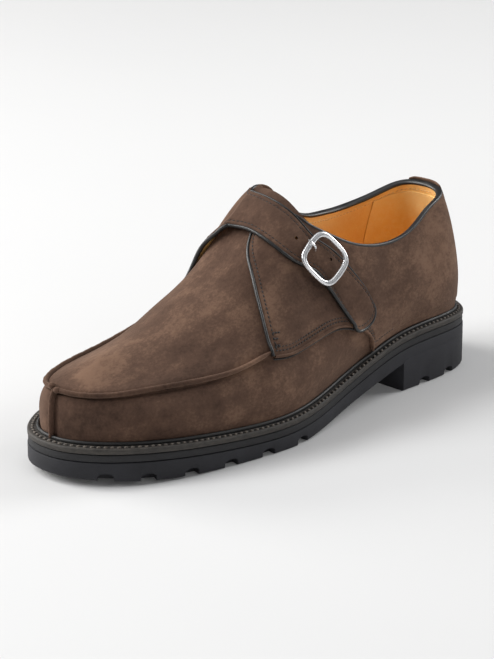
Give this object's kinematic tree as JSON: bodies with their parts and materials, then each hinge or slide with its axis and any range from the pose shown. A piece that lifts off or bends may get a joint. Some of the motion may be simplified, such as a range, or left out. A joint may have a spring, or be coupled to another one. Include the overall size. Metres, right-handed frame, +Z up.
{
  "type": "monk strap shoe",
  "caption": "Left brown suede monk strap shoe with a raised apron seam, one side buckle, tan lining, stitched welt and a lugged black rubber sole.",
  "frame": {"origin": "middle of the bounding box, on the floor that the sole stands on", "axes": "+Z up, +Y towards the heel along the length of the shoe, +X towards the buckle side, which is the outer side of the left foot"},
  "size_m": [0.1084, 0.2998, 0.1195],
  "materials": {
    "brown_suede": "napped, matt",
    "black_rubber": "moulded, satin",
    "dark_leather": "burnished, satin",
    "tan_leather": "smooth, satin",
    "polished_steel": "polished"
  },
  "bodies": {
    "root": {"outsole": "black_rubber", "heel": "black_rubber", "midsole": "dark_leather", "welt": "dark_leather", "insole": "tan_leather", "upper": "brown_suede", "outer_quarter": "brown_suede", "inner_quarter_strap": "brown_suede", "buckle_frame": "polished_steel", "buckle_prong": "polished_steel"}
  },
  "joints": []
}
